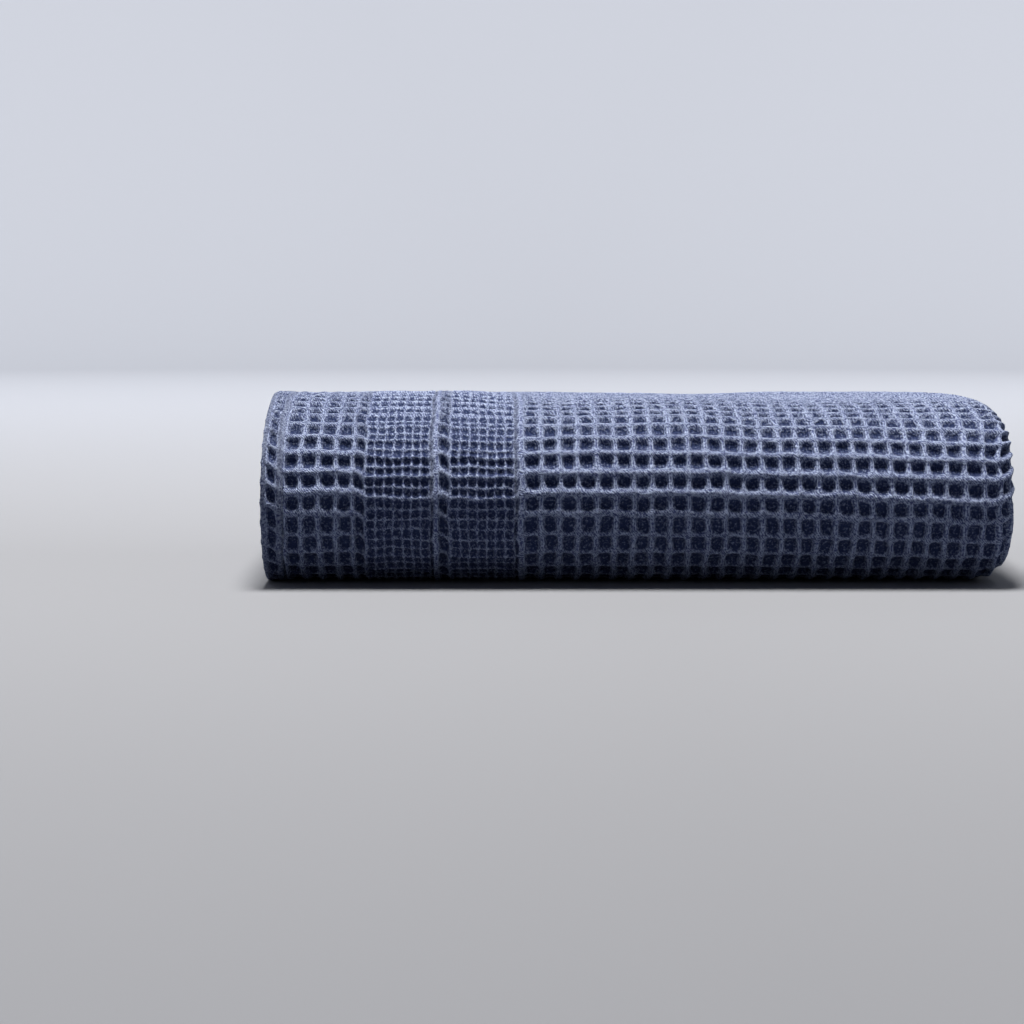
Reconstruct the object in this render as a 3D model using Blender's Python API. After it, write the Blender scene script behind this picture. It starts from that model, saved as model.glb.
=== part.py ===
"""Hand towel of cotton waffle cloth in its shelf fold: one hemmed cloth, folded and settled.

The cloth is 1.00 m by 0.50 m. Its length is folded in half and in half again, which lays four
plies over one another, and that strip is then folded in three like a letter. The front is one
fold of the full height, the middle third is tucked inside it, and both hems lie at one end.

Units are metres. +Z is up, the full-height fold faces -Y, and the plies turn back at +X.
"""

import math
from typing import NamedTuple

import bmesh
import bpy

# The cloth, laid flat.
FLAT_LENGTH = 1.000
FLAT_WIDTH = 0.500
CLOTH_THICKNESS = 0.0043
PLY_GAP = 0.0009
PLY_PITCH = CLOTH_THICKNESS + PLY_GAP

HALF_TURN = math.pi

# The first two folds, seen from the front: a strip of four plies.
TUCK_IN = 0.0035  # how far the tucked fold stops short of the hems
HEM_STEP = 0.0020  # how far the inner hem stops short of the outer one
PLIES_IN_STRIP = 4
STRIP_PITCH = PLIES_IN_STRIP * PLY_PITCH
STRIP_HALF = (STRIP_PITCH - PLY_GAP) / 2

# The letter fold, seen from the hem end: lengths along the middle of the strip.
TOP_LENGTH = 0.149
FRONT_RADIUS = STRIP_PITCH
BOTTOM_LENGTH = 0.130
BACK_RADIUS = STRIP_PITCH / 2
MIDDLE_LENGTH = 0.124
SELVAGE_STEP = 0.0033  # step from ply to ply where the selvages end

# How the soft stack settles, as parts of its height or as distances.
STACK_HEIGHT = 3 * STRIP_PITCH - PLY_GAP
FRONT_TO_BACK = FRONT_RADIUS + BOTTOM_LENGTH + BACK_RADIUS + 2 * STRIP_HALF
FRONT_SAG = 0.107
FRONT_SAG_REACH = 0.040
FRONT_SAG_POWER = 3  # the sag keeps its depth round the front fold and ends softly behind it
CREST_FROM_FRONT = 0.068
CREST_REACH = 0.044
BACK_FALL = 0.032
HEM_END_RISE = 0.043
HEM_END_RISE_FROM = -0.070
HEM_END_RISE_TO = -0.026
FOLD_END_REACH = 0.036
FOLD_END_OVERHANG = 0.0042
FOLD_END_UNDERCUT = 0.0010
HEM_FLARE = 0.0018

# How finely each stretch of the cloth is divided.
PLY_STEPS = 6
OUTER_BEND_STEPS = 10
INNER_BEND_STEPS = 6

SHARP_EDGE = math.radians(50)

COTTON_BLUE = (0.060, 0.083, 0.165, 1.0)
COTTON_ROUGHNESS = 0.92


class Ply(NamedTuple):
    """One straight run of the cloth in the strip, and how far it lies from the strip's middle."""

    name: str
    offset: float
    heading: int  # +1 runs towards the folded end, -1 towards the hems


class Leg(NamedTuple):
    """One stretch of the letter fold along the strip's middle: straight, or a half turn."""

    name: str
    length: float
    turn: float


class Wave(NamedTuple):
    """A gentle rise and fall of the stack along x and y, as a share of its height."""

    share: float
    x_length: float
    y_length: float
    phase: float


class Zone(NamedTuple):
    """A band across the cloth's width and the number of divisions in it."""

    end: float
    steps: int


PLIES = (
    Ply("outer", 1.5 * PLY_PITCH, 1),
    Ply("innermost", -1.5 * PLY_PITCH, -1),
    Ply("third", -0.5 * PLY_PITCH, 1),
    Ply("second", 0.5 * PLY_PITCH, -1),
)
LEGS = (
    Leg("top", TOP_LENGTH, 0.0),
    Leg("front fold", HALF_TURN * FRONT_RADIUS, HALF_TURN),
    Leg("bottom", BOTTOM_LENGTH, 0.0),
    Leg("back fold", HALF_TURN * BACK_RADIUS, HALF_TURN),
    Leg("middle", MIDDLE_LENGTH, 0.0),
)
WAVES = (
    Wave(0.0055, 0.170, 0.310, 0.6),
    Wave(0.0035, 0.083, -0.190, 2.1),
    Wave(0.0020, 0.047, 0.120, 4.0),
)
# Fine where any ply bends: the front fold, the back fold, and the tight turn inside the latter.
WIDTH_ZONES = (
    Zone(0.000, 0),
    Zone(0.132, 5),
    Zone(0.216, 16),
    Zone(0.326, 4),
    Zone(0.344, 4),
    Zone(0.359, 10),
    Zone(0.382, 6),
    Zone(0.500, 5),
)


def smooth_step(start, end, value):
    """0 before start, 1 after end, and a soft ramp between them."""
    part = min(1.0, max(0.0, (value - start) / (end - start)))
    return part * part * (3.0 - 2.0 * part)


def bend_radius(ply, following):
    return abs(ply.offset - following.offset) / 2


def straight_total():
    """Length of cloth left for the four straight plies after the three bends."""
    bends = sum(HALF_TURN * bend_radius(a, b) for a, b in zip(PLIES, PLIES[1:]))
    return FLAT_LENGTH - bends


def strip_ends():
    """x of the outer hem, the inner hem, the tucked bend's centre and the folded end's centre."""
    # The tucked bend's outer face stops TUCK_IN short of the outer hem.
    tucked = TUCK_IN + bend_radius(PLIES[1], PLIES[2]) + CLOTH_THICKNESS / 2
    reach = (straight_total() + HEM_STEP + 2 * tucked) / len(PLIES)
    return 0.0, HEM_STEP, tucked, reach


def strip_courses():
    """The straight courses of the cloth through the strip: the ply, its start x and length."""
    outer_hem, inner_hem, tucked, folded = strip_ends()
    starts = (outer_hem, folded, tucked, folded)
    stops = (folded, tucked, folded, inner_hem)
    return [(ply, a, abs(b - a)) for ply, a, b in zip(PLIES, starts, stops)]


COURSES = strip_courses()


def place_in_strip(along, lift):
    """x and offset in the strip of a point of the cloth, and the offset of the cloth's middle."""
    left = along
    for index, (ply, start, length) in enumerate(COURSES):
        last = index == len(COURSES) - 1
        if left <= length or last:
            return start + ply.heading * left, ply.offset + ply.heading * lift, ply.offset
        left -= length
        following = PLIES[index + 1]
        radius = bend_radius(ply, following)
        if left <= HALF_TURN * radius:
            angle = left / radius
            side = 1 if ply.offset > following.offset else -1
            centre = (ply.offset + following.offset) / 2
            outer = radius + side * ply.heading * lift
            x = start + ply.heading * (length + outer * math.sin(angle))
            middle = centre + side * radius * math.cos(angle)
            return x, centre + side * outer * math.cos(angle), middle
        left -= HALF_TURN * radius
    raise ValueError("the point lies past the end of the cloth")


def selvage_step(offset):
    return SELVAGE_STEP * offset / PLY_PITCH


def place_on_legs(across, offset):
    """The leg, and the part of it, where a ply lies at a distance across the cloth's width."""
    step = selvage_step(offset)
    lengths = [leg.length + offset * leg.turn for leg in LEGS]
    stretch = (sum(lengths) - 2 * step) / FLAT_WIDTH
    left = step + across * stretch
    for leg, length in zip(LEGS, lengths):
        if left <= length or leg is LEGS[-1]:
            return leg, left / length
        left -= length
    raise ValueError("the point lies past the selvage")


def leg_starts():
    """For each leg: y, z and heading where the strip's middle enters it."""
    y, z, heading = TOP_LENGTH, STACK_HEIGHT - STRIP_HALF, math.pi
    starts = {}
    for leg in LEGS:
        starts[leg.name] = (y, z, heading)
        y, z, heading = run_along(leg, 1.0, y, z, heading)
    return starts


def run_along(leg, part, y, z, heading):
    """y, z and heading after a part of a leg that starts at the given place."""
    if leg.turn == 0.0:
        run = part * leg.length
        return y + run * math.cos(heading), z + run * math.sin(heading), heading
    radius = leg.length / leg.turn
    after = heading + part * leg.turn
    y += radius * (math.sin(after) - math.sin(heading))
    z -= radius * (math.cos(after) - math.cos(heading))
    return y, z, after


STARTS = leg_starts()


def fold(along, across, lift):
    """The place in the tidy stack of a point of the flat cloth: x, y and z."""
    x, offset, ply_offset = place_in_strip(along, lift)
    leg, part = place_on_legs(across, ply_offset)
    y, z, heading = run_along(leg, part, *STARTS[leg.name])
    outward = heading - math.pi / 2
    return x, y + offset * math.cos(outward), z + offset * math.sin(outward)


def height_factor(x, from_front, folded_x):
    """How the settled stack's height compares with the tidy one's at a place in plan."""
    from_middle = x - folded_x / 2
    near_hem = 1.0 - smooth_step(HEM_END_RISE_FROM, HEM_END_RISE_TO, from_middle)
    crest = math.exp(-(((from_front - CREST_FROM_FRONT) / CREST_REACH) ** 2))
    factor = 1.0 + HEM_END_RISE * near_hem * crest
    factor -= FRONT_SAG * math.exp(-((from_front / FRONT_SAG_REACH) ** FRONT_SAG_POWER))
    factor -= BACK_FALL * smooth_step(CREST_FROM_FRONT, FRONT_TO_BACK, from_front)
    for wave in WAVES:
        angle = 2 * math.pi * (from_middle / wave.x_length + from_front / wave.y_length)
        factor += wave.share * math.sin(angle + wave.phase)
    return factor


def settle(x, y, z):
    """The tidy stack's point where the soft stack has it. The bottom stays flat."""
    folded_x = strip_ends()[-1] + STRIP_HALF
    from_front = y + FRONT_RADIUS + STRIP_HALF
    near_hem = 1.0 - smooth_step(0.0, folded_x, x)
    flare = HEM_FLARE * near_hem * smooth_step(0.0, FRONT_TO_BACK, from_front)
    near_fold = smooth_step(folded_x - FOLD_END_REACH, folded_x, x)
    above_middle = 2.0 * z / STACK_HEIGHT - 1.0
    push = FOLD_END_OVERHANG if above_middle > 0.0 else FOLD_END_UNDERCUT
    overhang = near_fold * push * above_middle**3
    return x - flare + overhang, y, z * height_factor(x, from_front, folded_x)


def length_stations():
    """Distances along the cloth at which it is divided: along each ply and round each bend."""
    stations = [0.0]
    for index, (ply, _, length) in enumerate(COURSES):
        start = stations[-1]
        stations += [start + length * step / PLY_STEPS for step in range(1, PLY_STEPS + 1)]
        if index == len(COURSES) - 1:
            break
        radius = bend_radius(ply, PLIES[index + 1])
        steps = OUTER_BEND_STEPS if radius > PLY_PITCH else INNER_BEND_STEPS
        start = stations[-1]
        stations += [start + HALF_TURN * radius * step / steps for step in range(1, steps + 1)]
    return stations


def width_stations():
    """Distances across the cloth at which it is divided, from one selvage to the other."""
    stations = [WIDTH_ZONES[0].end]
    for before, zone in zip(WIDTH_ZONES, WIDTH_ZONES[1:]):
        span = zone.end - before.end
        stations += [before.end + span * step / zone.steps for step in range(1, zone.steps + 1)]
    return stations


def flat_cloth():
    """A flat slab of cloth, divided at the stations. Its z is the lift off its middle."""
    along, across = length_stations(), width_stations()
    columns, rows = len(along) - 1, len(across) - 1
    cloth = bmesh.new()
    # The grid is one unit wide at first, centred on zero, so each vertex tells its station.
    bmesh.ops.create_grid(cloth, x_segments=columns, y_segments=rows, size=0.5)
    for vert in cloth.verts:
        column = round((vert.co.x + 0.5) * columns)
        row = round((vert.co.y + 0.5) * rows)
        vert.co = (along[column], across[row], 0.0)
    bmesh.ops.solidify(cloth, geom=cloth.faces[:], thickness=CLOTH_THICKNESS)
    middle = sum(vert.co.z for vert in cloth.verts) / len(cloth.verts)
    for vert in cloth.verts:
        vert.co.z = math.copysign(CLOTH_THICKNESS / 2, vert.co.z - middle)
    return cloth


def stand_on_origin(cloth):
    """Moves the stack so that the middle of its plan lies over the origin."""
    xs = [vert.co.x for vert in cloth.verts]
    ys = [vert.co.y for vert in cloth.verts]
    shift = (-(min(xs) + max(xs)) / 2, -(min(ys) + max(ys)) / 2, 0.0)
    bmesh.ops.translate(cloth, vec=shift, verts=cloth.verts)


def folded_cloth():
    """The towel's mesh: the flat slab, folded, settled and stood on the origin."""
    cloth = flat_cloth()
    for vert in cloth.verts:
        vert.co = settle(*fold(*vert.co))
    stand_on_origin(cloth)
    bmesh.ops.recalc_face_normals(cloth, faces=cloth.faces)
    mesh = bpy.data.meshes.new("hand_towel")
    cloth.to_mesh(mesh)
    cloth.free()
    mesh.shade_smooth()
    mesh.set_sharp_from_angle(angle=SHARP_EDGE)
    return mesh


def cotton():
    """Dull blue cotton."""
    material = bpy.data.materials.new("cotton_waffle")
    material.use_nodes = True
    shader = material.node_tree.nodes["Principled BSDF"]
    shader.inputs["Base Color"].default_value = COTTON_BLUE
    shader.inputs["Roughness"].default_value = COTTON_ROUGHNESS
    shader.inputs["Metallic"].default_value = 0.0
    return material


def clear_scene():
    for item in list(bpy.data.objects):
        bpy.data.objects.remove(item, do_unlink=True)


def main():
    clear_scene()
    collection = bpy.data.collections.new("hand_towel")
    bpy.context.scene.collection.children.link(collection)
    towel = bpy.data.objects.new("hand_towel", folded_cloth())
    towel.data.materials.append(cotton())
    collection.objects.link(towel)


main()
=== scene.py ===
"""Folded hand towel of deep cotton waffle cloth, dressed for its picture.

One hemmed cloth is laid flat as a grid of weave cells, given its waffle relief and folded for the
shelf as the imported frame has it. It stands on a plain pale floor in soft studio light.

Units are metres. +Z is up, the full-height fold faces -Y, and the plies turn back at +X.
"""

import logging
import math
from bisect import bisect_right
from dataclasses import dataclass, field
from enum import Enum
from functools import cached_property, partial

import bmesh
import bpy
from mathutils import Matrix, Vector, noise


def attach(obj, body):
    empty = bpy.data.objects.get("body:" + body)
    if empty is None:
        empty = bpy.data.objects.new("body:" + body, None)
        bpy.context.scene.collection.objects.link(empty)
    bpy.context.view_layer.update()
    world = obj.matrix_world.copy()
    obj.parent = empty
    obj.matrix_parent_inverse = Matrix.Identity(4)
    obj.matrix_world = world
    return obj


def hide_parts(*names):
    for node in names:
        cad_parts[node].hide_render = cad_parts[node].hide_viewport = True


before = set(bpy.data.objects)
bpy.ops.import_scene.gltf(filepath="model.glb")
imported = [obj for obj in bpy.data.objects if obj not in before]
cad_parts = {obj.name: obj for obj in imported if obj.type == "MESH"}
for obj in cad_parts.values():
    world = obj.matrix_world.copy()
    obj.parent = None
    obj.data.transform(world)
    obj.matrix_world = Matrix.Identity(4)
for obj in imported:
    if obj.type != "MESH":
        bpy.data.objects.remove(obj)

LOG = logging.getLogger("hand_towel")
NODE = "hand_towel"
BODY = "root"
TINY = 1e-5  # metres: places closer than this are one
NUDGE = 1e-6  # metres: a step off a border, to look on one side of it
ON_FACE = 0.9  # of half the thickness: what lies further out is on a face, not on a rim
SQUARENESS = 3.0  # of a cell's outline, where 2 would make an ellipse
FACE_MARKS = ("celled", "fine", "drawn", "taut")  # written on the cloth, read by its material

Colour = tuple[float, float, float, float]
Point = tuple[float, float, float]
Mottle = tuple[float, float, float]  # a noise's scale per metre, detail and roughness
Socket = bpy.types.NodeSocket


def from_hex(code: str) -> Colour:
    """Turns the six digits of an sRGB hex colour into linear red, green, blue and alpha."""
    parts = [int(code[at : at + 2], 16) / 255 for at in (0, 2, 4)]
    return (*(p / 12.92 if p <= 0.04045 else ((p + 0.055) / 1.055) ** 2.4 for p in parts), 1.0)


def smooth_step(start: float, end: float, value: float) -> float:
    """A soft ramp: 0 before its start, 1 after its end and a smooth rise between them."""
    part = min(1.0, max(0.0, (value - start) / (end - start)))
    return part * part * (3.0 - 2.0 * part)


def bell(middle: float, reach: float, value: float) -> float:
    """A smooth bump of height 1 at its middle, which has fallen to 0.37 at its reach."""
    return math.exp(-(((value - middle) / reach) ** 2))


def add_node(
    tree: bpy.types.NodeTree,
    kind: str,
    *values: object,
    named: dict[str | int, object] | None = None,
    output: int | str = 0,
    **settings: object,
) -> Socket:
    """Adds a shader node, sets it up and links it.

    Args:
        tree: The material's node tree.
        kind: The node's type name.
        values: What goes into its inputs in order: a socket to link, a constant, or None to skip.
        named: The same for single inputs, by their names or numbers.
        output: Which of its outputs is wanted.
        settings: The node's own properties.

    Returns:
        The wanted output.
    """
    node = tree.nodes.new(kind)
    for name, value in settings.items():
        setattr(node, name, value)
    for key, value in {**dict(enumerate(values)), **(named or {})}.items():
        if isinstance(value, bpy.types.NodeSocket):
            tree.links.new(value, node.inputs[key])
        elif value is not None:
            node.inputs[key].default_value = value
    return node.outputs[output]


def add_piece(
    name: str, shape: bmesh.types.BMesh, material: bpy.types.Material
) -> bpy.types.Object:
    """Turns a shape into a smooth object of the scene.

    Args:
        name: The object's name.
        shape: Its shape, which is freed.
        material: Its finish.

    Returns:
        The object.
    """
    bmesh.ops.recalc_face_normals(shape, faces=shape.faces)
    mesh = bpy.data.meshes.new(name)
    shape.to_mesh(mesh)
    shape.free()
    mesh.shade_smooth()
    mesh.materials.append(material)
    piece = bpy.data.objects.new(name, mesh)
    bpy.context.scene.collection.objects.link(piece)
    return piece


@dataclass(frozen=True)
class Ply:
    """One straight run of the cloth in the strip, and how far it lies from the strip's middle."""

    offset: float
    heading: int  # +1 runs towards the folded end, -1 towards the hems


@dataclass(frozen=True)
class Leg:
    """One stretch of the letter fold along the strip's middle: straight, or a half turn."""

    name: str
    length: float
    turn: float


@dataclass(frozen=True)
class Wave:
    """A gentle rise and fall of the stack along x and y, as a share of its height."""

    share: float
    x_length: float
    y_length: float
    phase: float


@dataclass(frozen=True)
class ShelfFold:
    """The fold: the length in half twice, then the strip in three like a letter, and settled."""

    flat_length: float = 1.000
    flat_width: float = 0.500
    thickness: float = 0.0043
    ply_gap: float = 0.0009
    tuck_in: float = 0.0035  # how far the tucked fold stops short of the hems
    hem_step: float = 0.0020  # how far the inner hem stops short of the outer one
    top_length: float = 0.149
    bottom_length: float = 0.130
    middle_length: float = 0.124
    selvage_step: float = 0.0033  # step from ply to ply where the selvages end
    front_sag: float = 0.107
    front_sag_reach: float = 0.040
    front_sag_power: int = 3  # the sag keeps its depth round the front and ends softly behind it
    crest_from_front: float = 0.068
    crest_reach: float = 0.044
    back_fall: float = 0.032
    hem_end_rise: float = 0.043
    hem_end_rise_from: float = -0.070
    hem_end_rise_to: float = -0.026
    fold_end_reach: float = 0.036
    fold_end_overhang: float = 0.0042
    fold_end_undercut: float = 0.0010
    hem_flare: float = 0.0018
    waves: tuple[Wave, ...] = (
        Wave(0.0055, 0.170, 0.310, 0.6),
        Wave(0.0035, 0.083, -0.190, 2.1),
        Wave(0.0020, 0.047, 0.120, 4.0),
    )

    @property
    def ply_pitch(self) -> float:
        """Distance from the middle of one ply to the middle of the next."""
        return self.thickness + self.ply_gap

    @cached_property
    def plies(self) -> tuple[Ply, ...]:
        """The four plies in the order in which the cloth runs through them."""
        pitch = self.ply_pitch
        return (
            Ply(1.5 * pitch, 1),  # the outer ply, which shows
            Ply(-1.5 * pitch, -1),  # the innermost one
            Ply(-0.5 * pitch, 1),
            Ply(0.5 * pitch, -1),
        )

    @property
    def strip_pitch(self) -> float:
        """Distance from the middle of one strip to the middle of the next."""
        return len(self.plies) * self.ply_pitch

    @property
    def strip_half(self) -> float:
        """Half the thickness of a strip of four plies."""
        return (self.strip_pitch - self.ply_gap) / 2

    @property
    def front_radius(self) -> float:
        """Radius of the front fold at the middle of the strip."""
        return self.strip_pitch

    @property
    def back_radius(self) -> float:
        """Radius of the back fold at the middle of the strip."""
        return self.strip_pitch / 2

    @property
    def stack_height(self) -> float:
        """Height of the tidy stack of three strips."""
        return 3 * self.strip_pitch - self.ply_gap

    @property
    def front_to_back(self) -> float:
        """Depth of the stack from the front fold to the back fold."""
        return self.front_radius + self.bottom_length + self.back_radius + 2 * self.strip_half

    @cached_property
    def legs(self) -> tuple[Leg, ...]:
        """The letter fold's stretches, from the top strip's selvages to the tucked ones."""
        return (
            Leg("top", self.top_length, 0.0),
            Leg("front fold", math.pi * self.front_radius, math.pi),
            Leg("bottom", self.bottom_length, 0.0),
            Leg("back fold", math.pi * self.back_radius, math.pi),
            Leg("middle", self.middle_length, 0.0),
        )

    @cached_property
    def leg_starts(self) -> dict[str, Point]:
        """For each leg: y, z and heading where the strip's middle enters it."""
        start = (self.top_length, self.stack_height - self.strip_half, math.pi)
        starts = {}
        for leg in self.legs:
            starts[leg.name] = start
            start = self.run_along(leg, 1.0, start)
        return starts

    @staticmethod
    def bend_radius(ply: Ply, following: Ply) -> float:
        """Radius of the bend between two plies, at the middle of the cloth."""
        return abs(ply.offset - following.offset) / 2

    @cached_property
    def strip_ends(self) -> tuple[float, float, float, float]:
        """x of the outer hem, the inner hem, the tucked bend's centre and the folded end's."""
        bends = sum(math.pi * self.bend_radius(a, b) for a, b in zip(self.plies, self.plies[1:]))
        tucked = self.tuck_in + self.bend_radius(*self.plies[1:3]) + self.thickness / 2
        straight = self.flat_length - bends
        reach = (straight + self.hem_step + 2 * tucked) / len(self.plies)
        return 0.0, self.hem_step, tucked, reach

    @cached_property
    def courses(self) -> list[tuple[Ply, float, float]]:
        """The straight courses of the cloth through the strip: the ply, its start x and length."""
        outer_hem, inner_hem, tucked, folded = self.strip_ends
        starts = (outer_hem, folded, tucked, folded)
        stops = (folded, tucked, folded, inner_hem)
        return [(ply, a, abs(b - a)) for ply, a, b in zip(self.plies, starts, stops)]

    @property
    def wrap_end(self) -> float:
        """Distance along the cloth at which the outer ply has turned right round."""
        return self.courses[0][2] + math.pi * self.bend_radius(*self.plies[:2])

    def place_in_strip(self, along: float, lift: float) -> Point:
        """Finds a point of the cloth in the strip of four plies.

        Args:
            along: Distance along the cloth from the outer hem.
            lift: Height off the middle of the cloth.

        Returns:
            x, the offset from the strip's middle, and the same offset for the cloth's middle.
        """
        left = along
        for index, (ply, start, length) in enumerate(self.courses):
            if left <= length or index == len(self.courses) - 1:
                break
            left -= length
            following = self.plies[index + 1]
            radius = self.bend_radius(ply, following)
            if left <= math.pi * radius:
                angle = left / radius
                side = 1 if ply.offset > following.offset else -1
                centre = (ply.offset + following.offset) / 2
                outer = radius + side * ply.heading * lift
                x = start + ply.heading * (length + outer * math.sin(angle))
                middle = centre + side * radius * math.cos(angle)
                return x, centre + side * outer * math.cos(angle), middle
            left -= math.pi * radius
        return start + ply.heading * left, ply.offset + ply.heading * lift, ply.offset

    def place_on_legs(self, across: float, offset: float) -> tuple[Leg, float]:
        """Finds where a ply lies at a distance across the cloth's width.

        Args:
            across: Distance from the selvage that ends the top strip.
            offset: How far the ply lies from the strip's middle.

        Returns:
            The leg, and the part of it that lies behind the point.
        """
        step = self.selvage_step * offset / self.ply_pitch
        lengths = [leg.length + offset * leg.turn for leg in self.legs]
        left = step + across * (sum(lengths) - 2 * step) / self.flat_width
        for leg, length in zip(self.legs, lengths):
            if left <= length or leg is self.legs[-1]:
                break
            left -= length
        return leg, left / length

    @staticmethod
    def run_along(leg: Leg, part: float, start: Point) -> Point:
        """Follows a leg from its start.

        Args:
            leg: The leg.
            part: The part of it to follow.
            start: y, z and heading at its start.

        Returns:
            y, z and heading after that part.
        """
        y, z, heading = start
        if leg.turn == 0.0:
            run = part * leg.length
            return y + run * math.cos(heading), z + run * math.sin(heading), heading
        radius = leg.length / leg.turn
        after = heading + part * leg.turn
        y += radius * (math.sin(after) - math.sin(heading))
        z -= radius * (math.cos(after) - math.cos(heading))
        return y, z, after

    def height_factor(self, from_middle: float, from_front: float) -> float:
        """Compares the settled stack's height with the tidy one's.

        Args:
            from_middle: The distance along the stack from its middle.
            from_front: The distance behind the front fold.

        Returns:
            The factor on every height there.
        """
        near_hem = 1.0 - smooth_step(self.hem_end_rise_from, self.hem_end_rise_to, from_middle)
        crest = bell(self.crest_from_front, self.crest_reach, from_front)
        factor = 1.0 + self.hem_end_rise * near_hem * crest
        sagging = math.exp(-((from_front / self.front_sag_reach) ** self.front_sag_power))
        factor -= self.front_sag * sagging
        back = smooth_step(self.crest_from_front, self.front_to_back, from_front)
        factor -= self.back_fall * back
        for wave in self.waves:
            angle = 2 * math.pi * (from_middle / wave.x_length + from_front / wave.y_length)
            factor += wave.share * math.sin(angle + wave.phase)
        return factor

    def settle(self, along: float, across: float, lift: float) -> Point:
        """Folds a point of the flat cloth into the stack and settles it, with the bottom flat.

        Args:
            along: Distance along the cloth from the outer hem.
            across: Distance across it from the top selvage.
            lift: Height off its middle.

        Returns:
            x from the hems, y and z.
        """
        x, offset, ply_offset = self.place_in_strip(along, lift)
        leg, part = self.place_on_legs(across, ply_offset)
        y, z, heading = self.run_along(leg, part, self.leg_starts[leg.name])
        outward = heading - math.pi / 2
        y, z = y + offset * math.cos(outward), z + offset * math.sin(outward)
        folded_x = self.strip_ends[-1] + self.strip_half
        from_front = y + self.front_radius + self.strip_half
        near_hem = 1.0 - smooth_step(0.0, folded_x, x)
        flare = self.hem_flare * near_hem * smooth_step(0.0, self.front_to_back, from_front)
        near_fold = smooth_step(folded_x - self.fold_end_reach, folded_x, x)
        above_middle = 2.0 * z / self.stack_height - 1.0
        push = self.fold_end_overhang if above_middle > 0.0 else self.fold_end_undercut
        overhang = near_fold * push * above_middle**3
        factor = self.height_factor(x - folded_x / 2, from_front)
        return x - flare + overhang, y, z * factor

    @cached_property
    def plan_shift(self) -> tuple[float, float]:
        """The move in plan that puts the middle of the folded stack over the origin."""
        columns, rows = 400, 100
        half = self.thickness / 2
        xs, ys, _ = zip(*(
            self.settle(self.flat_length * i / columns, self.flat_width * j / rows, lift)
            for i in range(columns + 1)
            for j in range(rows + 1)
            for lift in (-half, half)
        ))
        return -(min(xs) + max(xs)) / 2, -(min(ys) + max(ys)) / 2

    def place(self, along: float, across: float, lift: float) -> Vector:
        """Where the frame has a point of the flat cloth, given as `settle` takes it."""
        x, y, z = self.settle(along, across, lift)
        return Vector((x + self.plan_shift[0], y + self.plan_shift[1], z))


class Weave(Enum):
    """What a column of the cloth is woven or sewn as."""

    EDGE = "edge"
    HEM_CELLS = "hem cells"
    HEM_SEAM = "hem seam"
    FULL = "full cells"
    FINE = "fine cells"
    STRIP = "plain strip"


@dataclass(frozen=True)
class Run:
    """Neighbouring columns of one weave along the cloth."""

    weave: Weave
    count: int
    width: float


@dataclass(frozen=True)
class Band:
    """One column or row of the grid: its number, where it starts and how wide it is."""

    index: int
    start: float
    width: float
    cuts: int
    weave: Weave = Weave.FULL

    @property
    def end(self) -> float:
        """Where the band stops."""
        return self.start + self.width

    def spread(self, at: float, places: tuple[float, ...]) -> float:
        """Where an even cut of the band goes when its lines take these shares of the width."""
        step = round((at - self.start) / self.width * (self.cuts + 1))
        return self.start + self.width * places[step]


def band_at(bands: list[Band], place: float) -> Band:
    """The column or row that a place lies in."""
    return bands[max(0, bisect_right(bands, place, key=lambda band: band.start) - 1)]


@dataclass(frozen=True)
class Cell:
    """A waffle cell. Weft ridges like ropes stand proud, and lower warp posts lie between them."""

    depth: float
    unevenness: float  # of the depth
    rope_half: float
    post_half: float
    rope_spread: float = 0.0  # how much wider a rope is at a post
    rope_sink: float = 0.0  # how much lower it is there
    post_spread: float = 0.0


@dataclass(frozen=True)
class Grain:
    """A noise over the flat cloth: how often it turns in a metre, and which slice is used."""

    rate: float
    slice: float

    def at(self, along: float, across: float) -> Vector:
        """Where the noise is read for a point of the cloth."""
        return Vector((along * self.rate, across * self.rate, self.slice))


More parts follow.
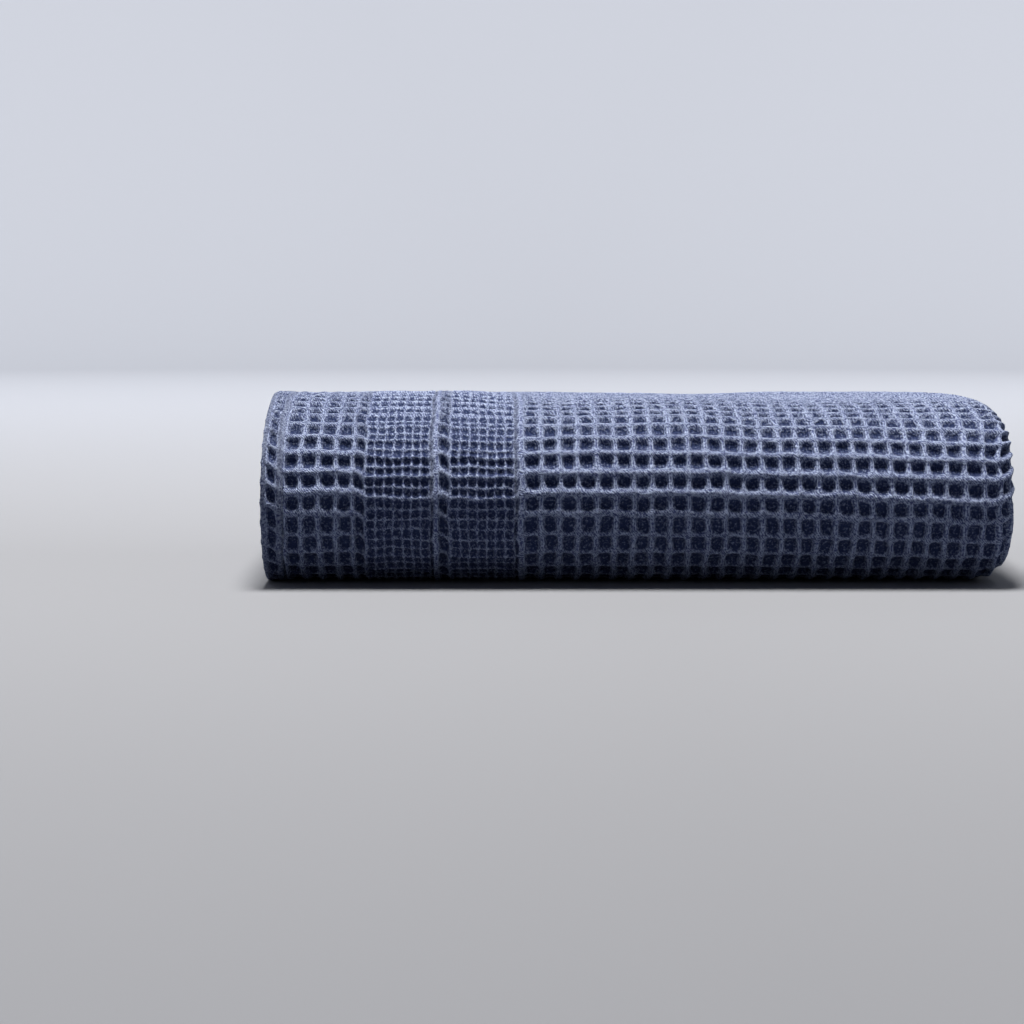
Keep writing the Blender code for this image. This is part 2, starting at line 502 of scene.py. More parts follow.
@dataclass
class WaffleCloth:
    """The towel's one cloth: its grid of cells, its relief and its fold."""

    fold: ShelfFold = field(default_factory=ShelfFold)
    name: str = "towel_cloth"
    runs: tuple[Run, ...] = (
        Run(Weave.EDGE, 1, 0.0019),
        Run(Weave.HEM_CELLS, 1, 0.0040),
        Run(Weave.HEM_SEAM, 1, 0.0021),
        Run(Weave.FULL, 4, 0.00585),
        Run(Weave.FULL, 1, 0.0043),
        Run(Weave.FINE, 7, 0.00303),
        Run(Weave.STRIP, 1, 0.0025),
        Run(Weave.FULL, 1, 0.0043),
        Run(Weave.FINE, 7, 0.00309),
        Run(Weave.STRIP, 1, 0.0030),
        Run(Weave.FULL, 25, 0.00617),
    )
    wrap_columns: int = 5
    row_height: float = 0.00713
    first_row: float = 0.00577  # where the plain selvage ends
    rows_of_cells: int = 68
    hidden_steps: int = 5
    bend_steps: int = 6

    # Where the lines lie that cut a cell: close on the ridges, wide on the floor.
    column_places: tuple[float, ...] = (0.0, 0.07, 0.14, 0.20, 0.5, 0.80, 0.86, 0.93, 1.0)
    near_places: tuple[float, ...] = (0.0, 0.085, 0.165, 0.235, 0.5, 0.765, 0.835, 0.915, 1.0)
    fine_column_places: tuple[float, ...] = (0.0, 0.18, 0.5, 0.82, 1.0)
    near_fine_places: tuple[float, ...] = (0.0, 0.09, 0.25, 0.41, 0.5, 0.59, 0.75, 0.91, 1.0)
    far_places: tuple[float, ...] = (0.0, 0.19, 0.5, 0.81, 1.0)
    selvage_cuts: int = 3
    near_rows_on_top: int = 6

    full: Cell = Cell(0.0027, 0.15, 0.49, 0.33, 0.12, 0.20, 0.20)
    fine: Cell = Cell(0.0019, 0.2, 0.40, 0.38)
    post_height: float = 0.70
    thin_rope_height: float = 0.62  # of every other rope of a fine band
    strip_slot: float = 0.60  # the part of a plain strip that sinks beside its cord
    strip_depth: float = 0.0017
    strip_reach: float = 0.17
    strip_crossing: float = 0.5  # how much shallower a strip is where a rope runs over it
    hem_cell_depth: float = 0.0026
    hem_cell_floor: float = 0.45
    seam_depth: float = 0.0011
    seam_middle: float = 0.78  # where the stitched groove lies in its column
    seam_reach: float = 0.16
    stitch_depth: float = 0.0002
    edge_dip: float = 0.0003
    edge_roll: float = 0.0006
    edge_scallop: float = 0.0006
    rim_half: float = 0.0011
    ridge_arc: float = 0.00045
    taut_from: float = 0.1742  # where, round the lower front fold, the warp is pulled taut
    taut_to: float = 0.1800
    slack_from: float = 0.220
    slack_to: float = 0.232
    taut_sink: float = 0.42  # how much lower the ropes lie there
    taut_rise: float = 0.40  # and how much higher the warp ridges

    # No two ridges or cells are quite alike.
    lumps: Grain = Grain(330.0, 2.0)
    lump_height: float = 0.00018
    uneven: Grain = Grain(160.0, 7.0)
    hem_unevenness: float = 0.4

    # How the weave lies off its grid. Without a seed it would differ in every run.
    drift_seed: int = 7
    close_drift: Grain = Grain(120.0, 3.0)
    close_reach: float = 0.0008
    wide_drift: Grain = Grain(28.0, 11.0)
    wide_reach: float = 0.0003
    selvage_hold: float = 0.012  # how near to a selvage the drift starts to die away
    hem_hold: float = 0.004
    fine_reach: float = 0.0026  # how far from a fine band its rows run back to the full ones
    fine_row_drop: float = 0.28  # how far the fine rows lie below the full ones, in rows
    hem_row_rise: float = 0.5  # how far the rows run up across the hem, in rows
    hem_row_from: float = 0.001
    hem_row_to: float = 0.0085
    grain_drop: float = 0.0032  # how far the rows have run down by the folded end
    grain_from: float = 0.115
    grain_to: float = 0.250
    grain_power: float = 1.6

    # What the material is told.
    hidden_from: int = 200  # the number of the first column that is only drawn
    inner_hem: float = 0.008  # the width without cells at the far end of the cloth
    strip_shade: float = 0.5  # how strong the painted shade in a plain strip's groove is where the warp is slack
    fine_taut_shade: float = 0.3  # how much of the painted shade on the taut lower front fold a fine band takes

    @cached_property
    def columns(self) -> list[Band]:
        """The columns of the outer ply and of its turn, from the outer hem."""
        bands, start = [], 0.0
        for run in self.runs:
            places = self.column_places if run.weave is Weave.FULL else self.fine_column_places
            for _ in range(run.count):
                bands.append(Band(len(bands), start, run.width, len(places) - 2, run.weave))
                start += run.width
        width = (self.fold.wrap_end - start) / self.wrap_columns
        cuts = len(self.column_places) - 2
        for _ in range(self.wrap_columns):
            bands.append(Band(len(bands), start, width, cuts))
            start += width
        return bands

    @cached_property
    def rows(self) -> list[Band]:
        """The rows across the cloth, from the top selvage to the tucked one."""
        bands = [Band(0, 0.0, self.first_row, self.selvage_cuts)]
        for index in range(self.rows_of_cells):
            start = self.first_row + index * self.row_height
            ahead = self.leg_at(start + self.near_rows_on_top * self.row_height)
            near = "front fold" in (ahead, self.leg_at(start + self.row_height / 2))
            places = self.near_places if near else self.far_places
            bands.append(Band(len(bands), start, self.row_height, len(places) - 2))
        last = bands[-1].end
        bands.append(Band(len(bands), last, self.fold.flat_width - last, 0))
        return bands

    def leg_at(self, across: float) -> str:
        """The name of the leg in which the outer ply lies at a distance across the cloth."""
        return self.fold.place_on_legs(across, self.fold.plies[0].offset)[0].name

    def shown(self, along: float, across: float) -> bool:
        """Whether the cloth's outer face shows at a place, so that it gets real relief."""
        if along > self.fold.wrap_end:
            return False
        leg = self.leg_at(across)
        turning = along > self.columns[-self.wrap_columns].start
        return leg not in ("bottom", "middle") or (turning and leg == "middle")

    def along_lines(self) -> list[float]:
        """Distances along the cloth at which it is divided."""
        fold = self.fold
        stretches = []
        for index, (ply, _, length) in enumerate(fold.courses[1:], start=2):
            stretches.append((length, self.hidden_steps))
            if index < len(fold.plies):
                bend = math.pi * fold.bend_radius(ply, fold.plies[index])
                stretches.append((bend, self.bend_steps))
        lines = [*(band.start for band in self.columns), fold.wrap_end]
        for length, steps in stretches:
            start = lines[-1]
            lines += [start + length * step / steps for step in range(1, steps + 1)]
        return [*lines[:-1], fold.flat_length - self.runs[0].width, fold.flat_length]

    def lay_flat(self) -> bmesh.types.BMesh:
        """Lays the cloth flat as a slab with a line at every border of a cell.

        Returns:
            The slab. Its x runs along the cloth, its y across it, and its z is the lift.
        """
        along = self.along_lines()
        across = [*(band.start for band in self.rows), self.fold.flat_width]
        columns, rows = len(along) - 1, len(across) - 1
        cloth = bmesh.new()
        bmesh.ops.create_grid(cloth, x_segments=columns, y_segments=rows, size=0.5)
        for vert in cloth.verts:
            column = round((vert.co.x + 0.5) * columns)
            row = round((vert.co.y + 0.5) * rows)
            vert.co = (along[column], across[row], 0.0)
        thickness = self.fold.thickness
        bmesh.ops.solidify(cloth, geom=cloth.faces[:], thickness=thickness)
        middle = sum(vert.co.z for vert in cloth.verts) / len(cloth.verts)
        for vert in cloth.verts:
            vert.co.z = math.copysign(thickness / 2, vert.co.z - middle)
        return cloth

    def cut(self, cloth: bmesh.types.BMesh) -> None:
        """Divides the faces that show, finely enough for their relief.

        Args:
            cloth: The flat slab.
        """
        half = self.fold.thickness / 2
        rims = [e for e in cloth.edges if abs(e.verts[0].co.z - e.verts[1].co.z) > half]
        bmesh.ops.subdivide_edges(cloth, edges=rims, cuts=2, use_grid_fill=True)
        for axis, bands in enumerate((self.columns, self.rows)):
            for cuts in sorted({band.cuts for band in bands}):
                chosen = [edge for edge in cloth.edges if self.cuts_of(edge, axis) == cuts]
                bmesh.ops.subdivide_edges(cloth, edges=chosen, cuts=cuts, use_grid_fill=True)

    def cuts_of(self, edge: bmesh.types.BMEdge, axis: int) -> int | None:
        """Finds how often an edge that spans a column or a row is to be cut.

        Args:
            edge: An edge of the flat slab.
            axis: 0 for the columns, 1 for the rows.

        Returns:
            The number of cuts, or None for an edge that is left whole.
        """
        a, b = (vert.co for vert in edge.verts)
        other = 1 - axis
        on_rim = max(abs(a[other]), abs(b[other])) < TINY
        outer = on_rim or min(a.z, b.z) > self.fold.thickness / 2 - TINY
        if abs(a[other] - b[other]) > TINY or abs(a.z - b.z) > TINY or not outer:
            return None
        middle = (a[axis] + b[axis]) / 2
        band = band_at((self.columns, self.rows)[axis], middle)
        if axis == 0:
            shows = self.shown(middle, max(0.0, a.y - self.row_height / 2))
        else:
            shows = self.shown(a.x - TINY, middle)
        return band.cuts if shows and abs(a[axis] - b[axis]) > band.width - TINY else None

    def place_cuts(self, cloth: bmesh.types.BMesh) -> None:
        """Moves the even cuts to the walls and floors of the cells.

        Args:
            cloth: The flat slab, cut evenly.
        """
        for vert in cloth.verts:
            x, y = vert.co.x, vert.co.y
            if x > self.fold.wrap_end:
                continue
            column, row = band_at(self.columns, x + NUDGE), band_at(self.rows, y + NUDGE)
            is_fine = column.weave is Weave.FINE
            if is_fine:
                vert.co.x = column.spread(x, self.fine_column_places)
            elif column.weave is Weave.FULL:
                vert.co.x = column.spread(x, self.column_places)
            if row.cuts == len(self.near_places) - 2:
                vert.co.y = row.spread(y, self.near_fine_places if is_fine else self.near_places)
            elif row.cuts == len(self.far_places) - 2 and not is_fine:
                vert.co.y = row.spread(y, self.far_places)

    @staticmethod
    def put_in_order(cloth: bmesh.types.BMesh) -> bmesh.types.BMesh:
        """Rebuilds the slab sorted by place, as cutting leaves it in a new order every run.

        Args:
            cloth: The flat slab with its cuts in place. It is freed.

        Returns:
            The same slab with its vertices, faces and corners in a fixed order.
        """
        verts = sorted(cloth.verts, key=lambda vert: tuple(vert.co))
        rank = {vert: index for index, vert in enumerate(verts)}
        outlines = []
        for face in cloth.faces:
            ranks = [rank[vert] for vert in face.verts]
            first = ranks.index(min(ranks))
            outlines.append(ranks[first:] + ranks[:first])
        ordered = bmesh.new()
        made = [ordered.verts.new(vert.co) for vert in verts]
        for outline in sorted(outlines):
            ordered.faces.new([made[index] for index in outline])
        cloth.free()
        return ordered

    def half_thickness(self, along: float, across: float) -> float:
        """Half the cloth's thickness, which falls to its rounded rims.

        Args:
            along: Distance along the cloth.
            across: Distance across it.

        Returns:
            The lift of the faces there, before any relief.
        """
        inset = min(along, self.fold.flat_length - along, across, self.fold.flat_width - across)
        part = min(1.0, max(0.0, inset / self.runs[0].width))
        return self.rim_half + (self.fold.thickness / 2 - self.rim_half) * self.dome(1.0 - part)

    def depth(self, along: float, across: float) -> float:
        """How far the outer face lies below the tops of the ridges.

        Args:
            along: Distance along the cloth.
            across: Distance across it.

        Returns:
            The depth.
        """
        column, row = band_at(self.columns, along - NUDGE), band_at(self.rows, across + NUDGE)
        t = (along - column.start) / column.width
        s = (across - row.start) / row.width
        a, b = abs(2 * t - 1), abs(2 * s - 1)  # 1 on the ridges, 0 in the middle of a cell
        uneven = noise.noise(self.uneven.at(along, across))
        ridge = self.lump_height * (1.0 + noise.noise(self.lumps.at(along, across)))
        if row in (self.rows[0], self.rows[-1]):
            return ridge
        taut = self.tautness(across)
        if column.weave is Weave.EDGE:
            return ridge + self.edge_dip * b * t
        if column.weave is Weave.HEM_SEAM:
            seam = self.seam_depth * bell(self.seam_middle, self.seam_reach, t)
            return ridge + seam + self.stitch_depth * (1 - b)
        if column.weave is Weave.STRIP:
            slot = self.strip_depth * bell(self.strip_slot / 2, self.strip_reach, t)
            rope = self.dome((1 - b) / self.full.rope_half)
            return ridge + slot * (1 - self.strip_crossing * rope)
        if column.weave is Weave.HEM_CELLS:
            r = (a**SQUARENESS + b**SQUARENESS) ** (1 / SQUARENESS)
            well = 1.0 - smooth_step(self.hem_cell_floor, 1.0, r)
            return ridge + well * self.hem_cell_depth * (1 + self.hem_unevenness * uneven)
        cell, rope_height = self.full, 1.0
        if column.weave is Weave.FINE:
            cell, rope_height = self.fine, 1.0 if b > 0.5 else self.thin_rope_height
            b, taut = abs(2 * (2 * s % 1.0) - 1), taut / 2
        rope = self.dome((1 - b) / (cell.rope_half + cell.rope_spread * a**2))
        rope *= rope_height * (1 - cell.rope_sink * a**2) * (1 - self.taut_sink * taut)
        post = self.dome((1 - a) / (cell.post_half + cell.post_spread * b**2))
        post *= self.post_height * (1 + self.taut_rise * taut)
        well = 1.0 - self.join(rope, post)
        return ridge + well * cell.depth * (1 + cell.unevenness * uneven)

    def tautness(self, across: float) -> float:
        """How far the warp is pulled taut at a distance across the cloth, from 0 to 1."""
        start = smooth_step(self.taut_from, self.taut_to, across)
        return start * (1.0 - smooth_step(self.slack_from, self.slack_to, across))

    @staticmethod
    def dome(part: float) -> float:
        """The height of a round ridge at a part of its half width, with its crest at 1."""
        return math.sqrt(max(0.0, 1.0 - part * part))

    @staticmethod
    def join(rope: float, post: float) -> float:
        """The height where two ridges run into each other, with a soft corner between them."""
        return min(1.0, (rope**4 + post**4) ** 0.25)

    def arc(self, along: float, across: float) -> float:
        """How far a ridge hangs down between the crossings, so that each cell has a round foot."""
        column = band_at(self.columns, along + NUDGE)
        if column.weave is not Weave.FULL or along > self.fold.wrap_end:
            return 0.0
        a = abs(2 * (along - column.start) / column.width - 1)
        b = abs(2 * ((across - self.first_row) / self.row_height % 1.0) - 1)
        return self.ridge_arc * (1 - a**2) * b**2

    def drift(self, along: float, across: float) -> tuple[float, float]:
        """How far a point has slid within the cloth, as woven and handled cloth is never square.

        Args:
            along: Distance along the cloth.
            across: Distance across it.

        Returns:
            The slide along and across.
        """
        ends = smooth_step(0.0, self.selvage_hold, across)
        ends *= smooth_step(0.0, self.selvage_hold, self.fold.flat_width - across)
        inside = ends * smooth_step(0.0, self.hem_hold, along)
        inside *= smooth_step(0.0, self.hem_hold, self.fold.flat_length - along)
        close = noise.noise_vector(self.close_drift.at(along, across)) * self.close_reach
        wide = noise.noise_vector(self.wide_drift.at(along, across)) * self.wide_reach
        run = min(along, self.grain_to) - self.grain_from
        part = max(0.0, run / (self.grain_to - self.grain_from))
        grain = self.grain_drop * part**self.grain_power
        near_hem = 1.0 - smooth_step(self.hem_row_from, self.hem_row_to, along)
        drop = self.fine_row_drop * self.row_height * self.fineness(along)
        drop -= self.hem_row_rise * self.row_height * near_hem
        drop += self.arc(along, across)
        return inside * (close.x + wide.x), inside * (close.y + wide.y + grain) + ends * drop

    def fineness(self, along: float) -> float:
        """How far the cloth at a distance along it is in a band of fine cells, from 0 to 1."""
        fine = (band for band in self.columns if band.weave is Weave.FINE)
        outside = min(max(0.0, band.start - along, along - band.end) for band in fine)
        return 1.0 - smooth_step(0.0, self.fine_reach, outside)

    def mark(self, cloth: bmesh.types.BMesh) -> None:
        """Writes the weave's own coordinates and kinds on the cloth for its material, with how
        strongly its wells are painted with shade.

        The map `cells` counts cells along and across: whole numbers lie on the ridges.

        Args:
            cloth: The flat slab with its cuts in place.
        """
        cells = cloth.loops.layers.uv.new("cells")
        celled, fine, drawn, taut = (cloth.faces.layers.float.new(name) for name in FACE_MARKS)
        side = ON_FACE * self.fold.thickness / 2
        width = self.runs[-1].width
        for face in cloth.faces:
            centre = face.calc_center_median()
            column, row = band_at(self.columns, centre.x), band_at(self.rows, centre.y)
            if centre.x >= self.fold.wrap_end:
                hidden = int(centre.x / width)
                column = Band(self.hidden_from + hidden, hidden * width, width, 0)
            is_fine = column.weave is Weave.FINE
            is_strip = column.weave is Weave.STRIP
            plain = column.weave in (Weave.EDGE, Weave.HEM_SEAM)
            plain |= self.fold.flat_length - centre.x < self.inner_hem
            plain |= row in (self.rows[0], self.rows[-1])
            tautness = self.tautness(centre.y)
            # Painted shade in the groove of a plain strip: half strength where the warp is slack,
            # full where it is taut.
            shade = self.strip_shade + (1 - self.strip_shade) * tautness if is_strip else 1.0
            face[celled] = 0.0 if plain else shade
            face[fine] = float(is_fine)
            # The taut mark also spreads the painted well shade over the ropes of the lower front
            # fold, where the cloth is in shade.
            face[taut] = tautness * (self.fine_taut_shade if is_fine else 1.0)
            real = centre.z > side and self.shown(centre.x, centre.y)
            face[drawn] = 0.0 if real or abs(centre.z) < side else 1.0
            for loop in face.loops:
                part = (loop.vert.co.x - column.start) / column.width
                u = column.index + (min(1.0, part / self.strip_slot) if is_strip else part)
                v = row.index + (loop.vert.co.y - row.start) / row.width
                loop[cells].uv = (u, v * (2.0 if is_fine else 1.0))

    def raise_relief(self, cloth: bmesh.types.BMesh) -> None:
        """Presses the cells into the outer face, rounds the rims and folds the cloth.

        Args:
            cloth: The flat slab with its cuts in place.
        """
        half = self.fold.thickness / 2
        for vert in cloth.verts:
            along, across, lift = vert.co
            level = lift / half
            lift = level * self.half_thickness(along, across)
            if level > ON_FACE and self.shown(along - TINY, across):
                lift -= self.depth(along, across)
            slide_along, slide_across = self.drift(along, across)
            if along < NUDGE:
                row_part = (across - self.first_row) / self.row_height
                scallop = self.edge_scallop * (0.5 - 0.5 * math.cos(2 * math.pi * row_part))
                slide_along += self.edge_roll * level**2 + scallop
            vert.co = self.fold.place(along + slide_along, across + slide_across, lift)

    def build(self, material: bpy.types.Material) -> bpy.types.Object:
        """Makes the cloth and seats it in the frame.

        Args:
            material: The cloth's finish.

        Returns:
            The finished piece.
        """
        noise.seed_set(self.drift_seed)
        cloth = self.lay_flat()
        self.cut(cloth)
        self.place_cuts(cloth)
        cloth = self.put_in_order(cloth)
        self.mark(cloth)
        self.raise_relief(cloth)
        piece = add_piece(self.name, cloth, material)
        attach(piece, BODY)
        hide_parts(NODE)
        piece.data.calc_loop_triangles()
        LOG.info("%s: %d triangles", self.name, len(piece.data.loop_triangles))
        return piece


@dataclass(frozen=True)
class WaffleCotton:
    """Piece-dyed cotton in a deep waffle weave.

    The soft twisted yarn is matt with a faint light fuzz. Floats of yarn catch the light on the
    ridges, and the wells between them hold shadow, which is also painted into their colour as a
    dark well shade; the gaps between threads are painted darker as shade too.
    """

    yarn: str = "8d99b6"
    dark_yarn_and_thread_shade: str = "3a4368"
    painted_well_shade: str = "202a4a"
    fuzz: str = "c9d1e6"
    roughness: float = 0.92
    specular: float = 0.06
    sheen: float = 0.03
    sheen_roughness: float = 0.5
    wander: Mottle = (430.0, 3.0, 0.6)
    wander_reach: float = 0.22  # in cells
    speckle: Mottle = (1150.0, 2.0, 0.7)
    cloud: Mottle = (55.0, 3.0, 0.5)
    cell_width: float = 0.64  # of the opening, as a share of a cell
    cell_height: float = 0.66
    taut_shade_stretch: float = 0.18  # how much taller the well looks where the warp is taut: painted shade that spreads over the rope crests on the lower front fold
    fine_opening: float = 0.2  # how much larger it looks in the fine bands
    well_from: float = 1.22  # the edge of the opening, seen from its middle
    well_to: float = 0.80
    threads_in_cell: float = 7.0  # real yarn is near 0.4 mm, drawn at 0.9 mm so that it shows
    thread_slant: float = 1.1
    beside_from: float = 0.45  # where slanting threads give way to those beside a cell
    beside_to: float = 0.65
    thread_height: float = 0.00035
    fine_loss: float = 0.35  # how much lower the threads stand in a fine band, and in a well
    well_loss: float = 0.60
    fuzz_height: float = 0.00100
    drawn_depth: float = 0.0016
    lint_contrast: float = 2.4  # how strongly lighter lint breaks the painted shade in the wells, where the speckle is high
    well_shade_level: float = 2.22
    thread_tone: float = 0.70  # how much lighter the yarn gets with each of the three; the threads' share is painted shade in the gaps between them
    speckle_tone: float = 4.4
    cloud_tone: float = 0.5
    base_tone: float = -2.30

    def build(self) -> bpy.types.Material:
        """Makes the material.

        Returns:
            The cotton.
        """
        material = bpy.data.materials.new("waffle_woven_cotton")
        material.use_nodes = True
        tree = material.node_tree
        tree.nodes.clear()
        mottle = partial(add_node, tree, "ShaderNodeTexNoise")
        vector = partial(add_node, tree, "ShaderNodeVectorMath")
        ramp = partial(add_node, tree, "ShaderNodeMapRange", interpolation_type="SMOOTHSTEP")
        blend = partial(add_node, tree, "ShaderNodeMix", data_type="RGBA", output=2)
        calc = partial(add_node, tree, "ShaderNodeMath")
        power = partial(calc, operation="POWER")
        times = partial(calc, operation="MULTIPLY")
        times_plus = partial(calc, operation="MULTIPLY_ADD")

        place = add_node(tree, "ShaderNodeTexCoord", output="Object")
        cells = add_node(tree, "ShaderNodeUVMap", uv_map="cells")
        celled, fine, drawn, taut = (
            add_node(tree, "ShaderNodeAttribute", attribute_name=name, output="Fac")
            for name in FACE_MARKS
        )

        # The lines of yarn are never quite straight.
        reach = (self.wander_reach, self.wander_reach, 0.0)
        wander = mottle(place, None, *self.wander, output="Color")
        wander = vector(wander, (0.5, 0.5, 0.5), operation="SUBTRACT")
        wander = vector(wander, reach, operation="MULTIPLY")
        cells = vector(cells, wander, operation="ADD")
        parts = add_node(tree, "ShaderNodeSeparateXYZ", cells).node
        u, v = parts.outputs[0], parts.outputs[1]

        # a and b are 1 on the ridges and 0 in the middle of a cell.
        a, b = (times_plus(calc(part, 0.5, operation="PINGPONG"), -2.0, 1.0) for part in (u, v))
        # Where the warp is taut, on the lower front fold, the well reaches higher over the ropes:
        # painted shade there, as well as a larger drawn well.
        opening = times_plus(taut, self.taut_shade_stretch, self.cell_height)
        wide = power(calc(a, self.cell_width, operation="DIVIDE"), SQUARENESS)
        high = power(calc(b, opening, operation="DIVIDE"), SQUARENESS)
        r = power(calc(wide, high, operation="ADD"), 1 / SQUARENESS)
        r = times(r, times_plus(fine, -self.fine_opening, 1.0))
        # The well mask: where its shade is painted into the colour and where drawn wells are
        # pressed into the bump.
        well = times(ramp(r, self.well_to, self.well_from, 1.0, 0.0), celled)

        # Threads run beside a cell in lines that follow its outline, and slant over the ridges
        # above and below it.
        threads = times_plus(fine, -self.threads_in_cell / 2, self.threads_in_cell)
        ring = calc(times(times(a, threads), math.pi), operation="COSINE")
        slant = times(times_plus(v, -self.thread_slant, u), threads)
        slant = calc(times(slant, 2 * math.pi), operation="SINE")
        beside = ramp(b, self.beside_from, self.beside_to, 0.0, 1.0)
        thread = add_node(tree, "ShaderNodeMix", beside, None, ring, slant, data_type="FLOAT")
        thread = times_plus(thread, 0.5, 0.5)
        speckle, cloud = (mottle(place, None, *noise) for noise in (self.speckle, self.cloud))

        # Painted shade: the wells take a dark colour, broken by lighter lint where the speckle is
        # high.
        well_shade_with_lint = times_plus(speckle, -self.lint_contrast, self.well_shade_level)
        well_shade_with_lint = times(well, well_shade_with_lint, use_clamp=True)
        # The yarn is lighter on the threads' crests and darker in the gaps between them, which is
        # painted shade; the speckle and the cloud vary its tone at random.
        tone = times_plus(thread, self.thread_tone, self.base_tone)
        tone = times_plus(speckle, self.speckle_tone, tone)
        tone = times_plus(cloud, self.cloud_tone, tone, use_clamp=True)
        colour = blend(tone, named={6: from_hex(self.dark_yarn_and_thread_shade), 7: from_hex(self.yarn)})
        colour = blend(well_shade_with_lint, named={6: colour, 7: from_hex(self.painted_well_shade)})

        stands = times_plus(well, -self.well_loss, times_plus(fine, -self.fine_loss, 1.0))
        height = times(times(thread, stands), self.thread_height)
        height = times_plus(speckle, self.fuzz_height, height)
        height = times_plus(times(well, drawn), -self.drawn_depth, height)
        relief = {"Strength": 1.0, "Distance": 1.0, "Height": height}
        cotton = {
            "Base Color": colour,
            "Roughness": self.roughness,
            "Specular IOR Level": self.specular,
            "Sheen Weight": self.sheen,
            "Sheen Roughness": self.sheen_roughness,
            "Sheen Tint": from_hex(self.fuzz),
            "Normal": add_node(tree, "ShaderNodeBump", named=relief),
        }
        out = tree.nodes.new("ShaderNodeOutputMaterial")
        shader = add_node(tree, "ShaderNodeBsdfPrincipled", named=cotton)
        tree.links.new(shader, out.inputs["Surface"])
        return material


@dataclass(frozen=True)
class PaleMatt:
    """Matt pale paint on a seamless studio sweep, with no texture to see."""

    colour: str = "72757c"
    roughness: float = 0.9
    specular: float = 0.1

    def build(self) -> bpy.types.Material:
        """Makes the material.

        Returns:
            The paint.
        """
        material = bpy.data.materials.new("matt_paint")
        material.use_nodes = True
        shader = material.node_tree.nodes["Principled BSDF"]
        shader.inputs["Base Color"].default_value = from_hex(self.colour)
        shader.inputs["Roughness"].default_value = self.roughness
        shader.inputs["Specular IOR Level"].default_value = self.specular
        return material


@dataclass(frozen=True)
class Softbox:
    """A large soft lamp."""

    name: str
    place: Point
    target: Point
    width: float
    height: float
    power: float
    colour: str = "fffdfa"

    def build(self) -> None:
        """Hangs the lamp, facing its target."""
        light = bpy.data.lights.new(self.name, "AREA")
        light.shape = "RECTANGLE"
        light.size, light.size_y = self.width, self.height
        light.energy = self.power
        light.color = from_hex(self.colour)[:3]
        lamp = bpy.data.objects.new(self.name, light)
        lamp.location = self.place
        facing = Vector(self.target) - lamp.location
        lamp.rotation_euler = facing.to_track_quat("-Z", "Y").to_euler()
        bpy.context.scene.collection.objects.link(lamp)


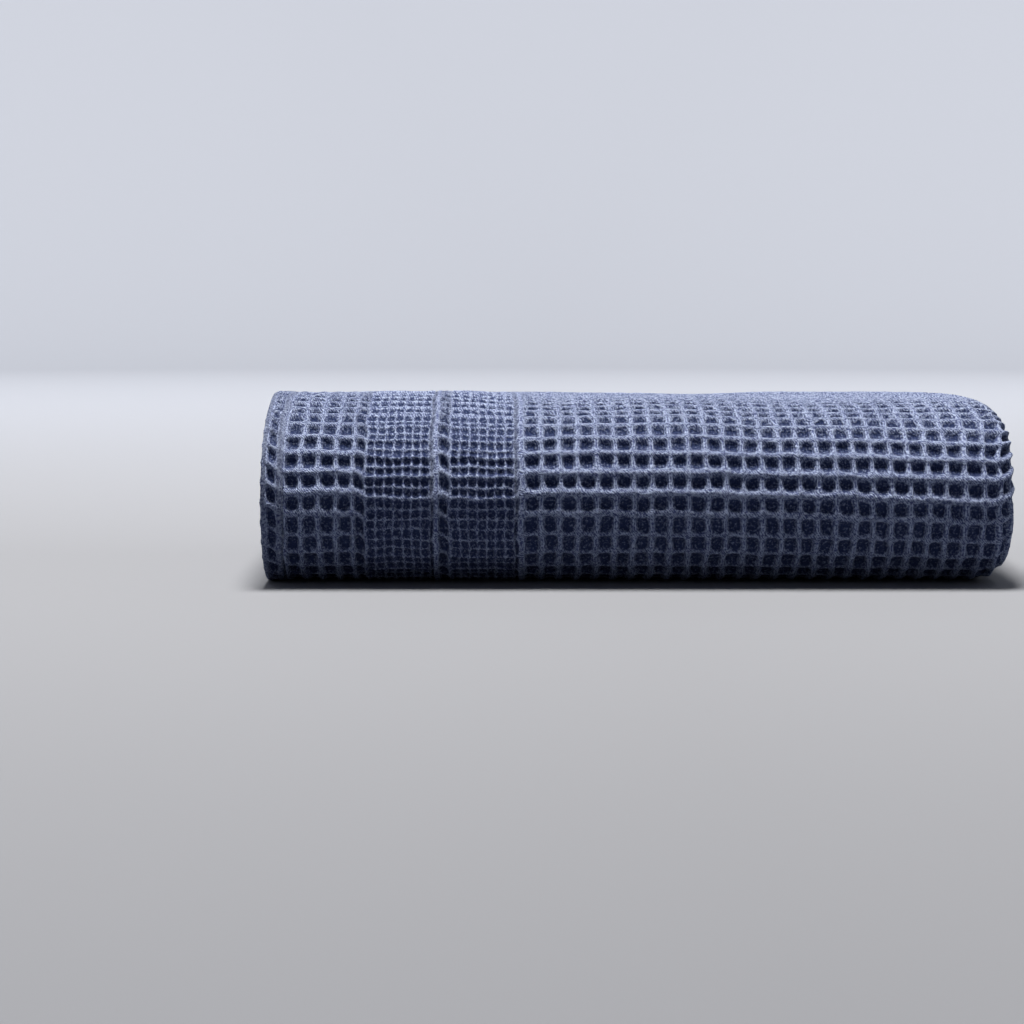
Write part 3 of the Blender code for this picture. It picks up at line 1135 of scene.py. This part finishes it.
@dataclass(frozen=True)
class Studio:
    """The pale sweep, the soft light and the camera."""

    floor_radius: float = 2.4
    cove_radius: float = 0.9
    wall_height: float = 1.6
    profile_steps: int = 12
    round_steps: int = 64
    softboxes: tuple[Softbox, ...] = (
        Softbox("top_softbox", (-0.05, 0.01, 1.32), (0.0, 0.0, 0.03), 0.55, 0.35, 54.5, "fff9ef"),
        Softbox("front_softbox", (-0.2, -1.1, 0.95), (0.0, 0.0, 0.03), 0.8, 0.6, 0.3, "b9c4ff"),
        Softbox("front_wall_softbox", (0.0, -1.5, 2.1), (0.0, -3.3, 1.2), 2.6, 1.0, 45.0),
        Softbox("back_wall_softbox", (0.0, 0.9, 2.1), (0.0, 3.3, 1.1), 2.6, 1.0, 300.0),
        Softbox("left_wall_softbox", (-1.0, 0.1, 2.1), (-3.3, 0.1, 1.0), 2.0, 1.0, 120.0),
        Softbox("right_wall_softbox", (1.0, 0.1, 2.1), (3.3, 0.1, 1.0), 2.0, 1.0, 120.0),
    )
    room: str = "c4cff6"
    room_strength: float = 0.05
    camera_place: Point = (-0.0425, -0.9583, 0.100)
    camera_pitch: float = 4.873  # degrees below the horizon
    lens: float = 91.55
    sensor: float = 36.0
    clip: tuple[float, float] = (0.05, 50.0)

    def build(self) -> None:
        """Sets up the floor, the lamps, the room's light and the camera."""
        self.lay_floor()
        for softbox in self.softboxes:
            softbox.build()
        self.light_room()
        self.place_camera()

    def lay_floor(self) -> None:
        """Lays a round floor whose edge sweeps up into a wall all round."""
        sweep = bmesh.new()
        middle = sweep.verts.new((0.0, 0.0, 0.0))
        rim = sweep.verts.new((0.0, self.floor_radius, 0.0))
        sweep.edges.new((middle, rim))
        cent, axis = (0.0, self.floor_radius, self.cove_radius), (1.0, 0.0, 0.0)
        cove = bmesh.ops.spin(
            sweep, geom=[rim], cent=cent, axis=axis, angle=math.pi / 2, steps=self.profile_steps
        )
        top = [item for item in cove["geom_last"] if isinstance(item, bmesh.types.BMVert)]
        wall = bmesh.ops.extrude_vert_indiv(sweep, verts=top)
        bmesh.ops.translate(sweep, verts=wall["verts"], vec=(0.0, 0.0, self.wall_height))
        geom, cent, axis = sweep.verts[:] + sweep.edges[:], (0.0, 0.0, 0.0), (0.0, 0.0, 1.0)
        turn, steps = 2 * math.pi, self.round_steps
        bmesh.ops.spin(
            sweep, geom=geom, cent=cent, axis=axis, angle=turn, steps=steps, use_merge=True
        )
        bmesh.ops.remove_doubles(sweep, verts=sweep.verts[:], dist=TINY)
        add_piece("studio_sweep", sweep, PaleMatt().build())

    def light_room(self) -> None:
        """Gives the room its even light."""
        world = bpy.data.worlds.new("studio_room")
        world.use_nodes = True
        background = world.node_tree.nodes["Background"]
        background.inputs["Color"].default_value = from_hex(self.room)
        background.inputs["Strength"].default_value = self.room_strength
        bpy.context.scene.world = world

    def place_camera(self) -> None:
        """Sets the camera where the photograph was taken from."""
        data = bpy.data.cameras.new("camera")
        data.sensor_width = self.sensor
        data.lens = self.lens
        data.clip_start, data.clip_end = self.clip
        camera = bpy.data.objects.new("camera", data)
        camera.location = self.camera_place
        camera.rotation_euler = (math.radians(90.0 - self.camera_pitch), 0.0, 0.0)
        bpy.context.scene.collection.objects.link(camera)
        bpy.context.scene.camera = camera


def main() -> None:
    """Builds the towel and the studio in order."""
    logging.basicConfig(level=logging.INFO, format="%(name)s: %(message)s")
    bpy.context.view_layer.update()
    cotton = WaffleCotton().build()
    WaffleCloth().build(cotton)
    Studio().build()
    bpy.context.scene.view_settings.view_transform = "Standard"


if __name__ == "__main__":
    main()
